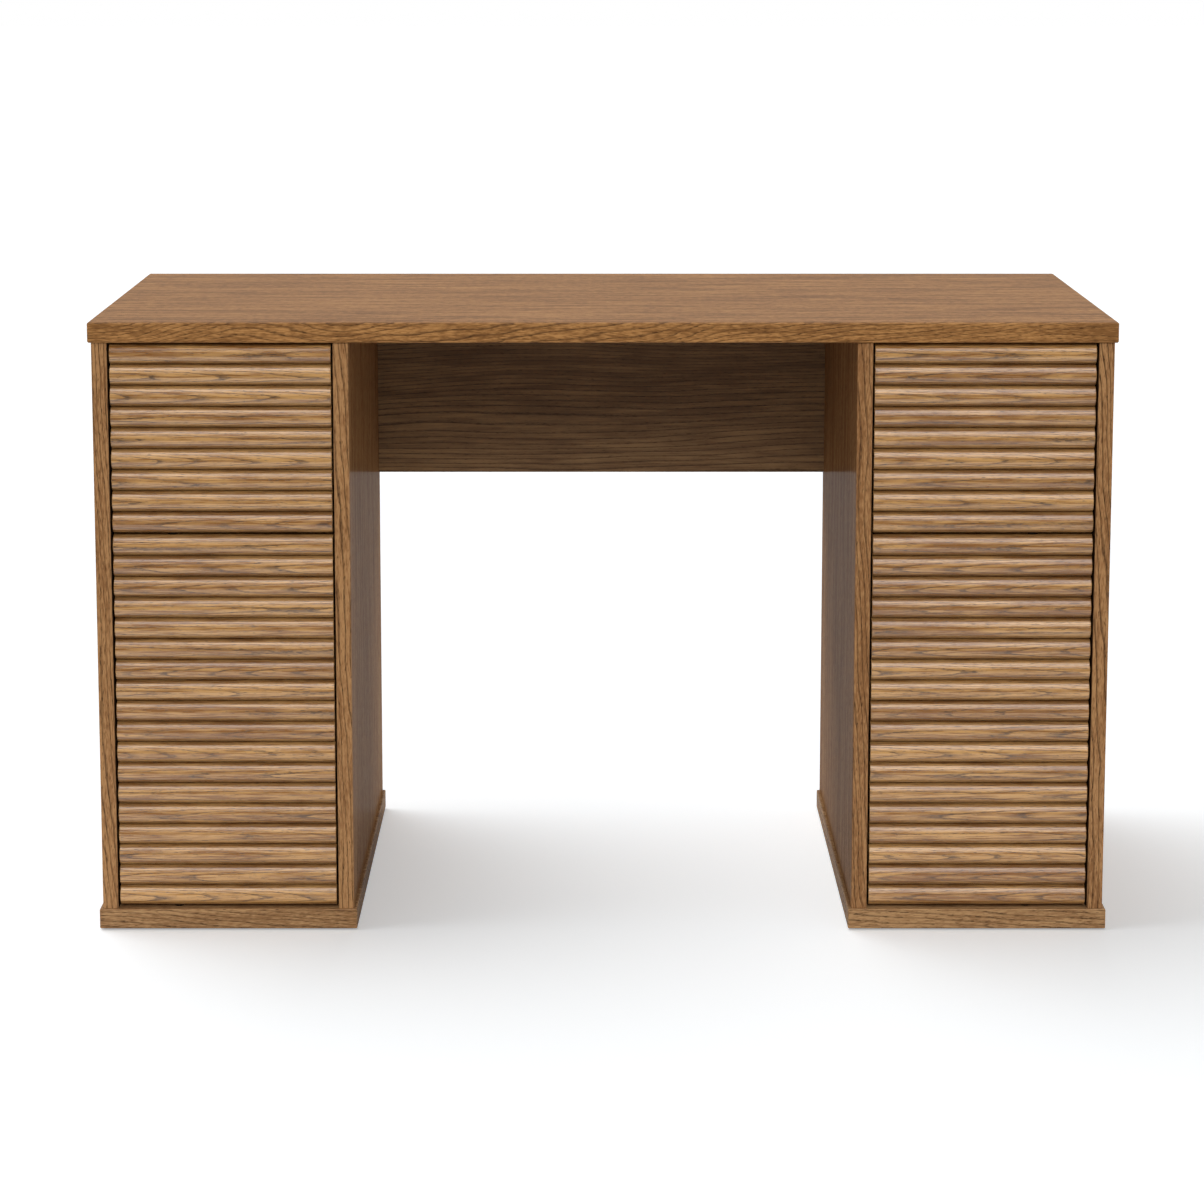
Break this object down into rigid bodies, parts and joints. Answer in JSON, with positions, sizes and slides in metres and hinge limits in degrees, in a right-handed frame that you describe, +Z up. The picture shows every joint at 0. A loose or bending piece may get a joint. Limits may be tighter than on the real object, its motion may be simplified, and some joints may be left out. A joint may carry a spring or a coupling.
{
  "type": "desk",
  "caption": "Double pedestal writing desk in smoked oak, with horizontally fluted handle-less drawer fronts and cupboard doors, a kneehole and a modesty panel.",
  "frame": {"origin": "on the floor, under the middle of the desk", "axes": "+X to the right seen from the front, -Y to the front, +Z up"},
  "size_m": [1.25, 0.6, 0.76],
  "materials": {
    "oak_top": "satin",
    "oak_side": "satin",
    "oak_base": "satin",
    "oak_front": "satin",
    "oak_panel": "satin",
    "oak_back": "satin",
    "oak_inside": "satin",
    "drawer_wood": "satin",
    "slide_steel": "zinc plated",
    "zinc": "zinc plated",
    "pivot_steel": "satin",
    "brass": "satin",
    "latch_plastic": "matt",
    "nylon": "matt"
  },
  "bodies": {
    "carcass": {"tabletop": "oak_top", "modesty_panel": "oak_panel", "modesty_cams": "zinc", "modesty_cam_bolts": "zinc", "base_glides": "nylon", "shelf_pins": "zinc", "top_screws": "zinc", "fitting_screws": "zinc", "top_pivot_plates": "pivot_steel", "bottom_pivot_pins": "pivot_steel", "door_latch_bodies": "latch_plastic", "drawer_latch_bodies": "latch_plastic", "left_outer_side": "oak_side", "left_inner_side": "oak_side", "left_base_board": "oak_base", "left_back_panel": "oak_back", "left_divider": "oak_inside", "left_shelf": "oak_inside", "left_top_rails": "oak_inside", "left_slide_cabinet_members": "slide_steel", "right_outer_side": "oak_side", "right_inner_side": "oak_side", "right_base_board": "oak_base", "right_back_panel": "oak_back", "right_divider": "oak_inside", "right_shelf": "oak_inside", "right_top_rails": "oak_inside", "right_slide_cabinet_members": "slide_steel"},
    "left_drawer": {"left_drawer_front": "oak_front", "left_drawer_box_front": "drawer_wood", "left_drawer_back": "drawer_wood", "left_drawer_sides": "drawer_wood", "left_drawer_bottom": "drawer_wood", "left_drawer_screws": "zinc", "left_slide_drawer_members": "slide_steel"},
    "left_door": {"left_door_panel": "oak_front", "left_door_bushes": "brass", "left_door_strike": "pivot_steel"},
    "left_slide_middle_members": {"left_slide_middle_members": "slide_steel"},
    "left_slide_outer_cages": {"left_slide_outer_cages": "nylon"},
    "left_slide_inner_cages": {"left_slide_inner_cages": "nylon"},
    "left_drawer_plunger": {"left_drawer_plunger": "latch_plastic"},
    "left_door_plunger": {"left_door_plunger": "latch_plastic"},
    "right_drawer": {"right_drawer_front": "oak_front", "right_drawer_box_front": "drawer_wood", "right_drawer_back": "drawer_wood", "right_drawer_sides": "drawer_wood", "right_drawer_bottom": "drawer_wood", "right_drawer_screws": "zinc", "right_slide_drawer_members": "slide_steel"},
    "right_door": {"right_door_panel": "oak_front", "right_door_bushes": "brass", "right_door_strike": "pivot_steel"},
    "right_slide_middle_members": {"right_slide_middle_members": "slide_steel"},
    "right_slide_outer_cages": {"right_slide_outer_cages": "nylon"},
    "right_slide_inner_cages": {"right_slide_inner_cages": "nylon"},
    "right_drawer_plunger": {"right_drawer_plunger": "latch_plastic"},
    "right_door_plunger": {"right_door_plunger": "latch_plastic"}
  },
  "joints": [
    {"name": "left_drawer_slide", "type": "slide", "parent": "carcass", "child": "left_drawer", "axis": [0, -1, 0], "range_m": [0, 0.45]},
    {"name": "left_slide_middle_members_travel", "type": "slide", "parent": "carcass", "child": "left_slide_middle_members", "axis": [0, -1, 0], "range_m": [0, 0.225]},
    {"name": "left_slide_outer_cages_travel", "type": "slide", "parent": "carcass", "child": "left_slide_outer_cages", "axis": [0, -1, 0], "range_m": [0, 0.1125]},
    {"name": "left_slide_inner_cages_travel", "type": "slide", "parent": "carcass", "child": "left_slide_inner_cages", "axis": [0, -1, 0], "range_m": [0, 0.3375]},
    {"name": "left_door_hinge", "type": "hinge", "parent": "carcass", "child": "left_door", "pos_m": [-0.5275, -0.2795, 0.263], "axis": [0, 0, -1], "range_deg": [0, 105]},
    {"name": "left_drawer_plunger_push", "type": "slide", "parent": "carcass", "child": "left_drawer_plunger", "axis": [0, 1, 0], "range_m": [0, 0.003], "stiffness_N_per_m": 400},
    {"name": "left_door_plunger_push", "type": "slide", "parent": "carcass", "child": "left_door_plunger", "axis": [0, 1, 0], "range_m": [0, 0.003], "stiffness_N_per_m": 400},
    {"name": "right_drawer_slide", "type": "slide", "parent": "carcass", "child": "right_drawer", "axis": [0, -1, 0], "range_m": [0, 0.45]},
    {"name": "right_slide_middle_members_travel", "type": "slide", "parent": "carcass", "child": "right_slide_middle_members", "axis": [0, -1, 0], "range_m": [0, 0.225]},
    {"name": "right_slide_outer_cages_travel", "type": "slide", "parent": "carcass", "child": "right_slide_outer_cages", "axis": [0, -1, 0], "range_m": [0, 0.1125]},
    {"name": "right_slide_inner_cages_travel", "type": "slide", "parent": "carcass", "child": "right_slide_inner_cages", "axis": [0, -1, 0], "range_m": [0, 0.3375]},
    {"name": "right_door_hinge", "type": "hinge", "parent": "carcass", "child": "right_door", "pos_m": [0.5275, -0.2795, 0.263], "axis": [0, 0, 1], "range_deg": [0, 105]},
    {"name": "right_drawer_plunger_push", "type": "slide", "parent": "carcass", "child": "right_drawer_plunger", "axis": [0, 1, 0], "range_m": [0, 0.003], "stiffness_N_per_m": 400},
    {"name": "right_door_plunger_push", "type": "slide", "parent": "carcass", "child": "right_door_plunger", "axis": [0, 1, 0], "range_m": [0, 0.003], "stiffness_N_per_m": 400}
  ],
  "couplings": [
    {"joint": "left_slide_middle_members_travel", "follows": "left_drawer_slide", "ratio": 0.5},
    {"joint": "left_slide_outer_cages_travel", "follows": "left_drawer_slide", "ratio": 0.25},
    {"joint": "left_slide_inner_cages_travel", "follows": "left_drawer_slide", "ratio": 0.75},
    {"joint": "right_slide_middle_members_travel", "follows": "right_drawer_slide", "ratio": 0.5},
    {"joint": "right_slide_outer_cages_travel", "follows": "right_drawer_slide", "ratio": 0.25},
    {"joint": "right_slide_inner_cages_travel", "follows": "right_drawer_slide", "ratio": 0.75}
  ]
}
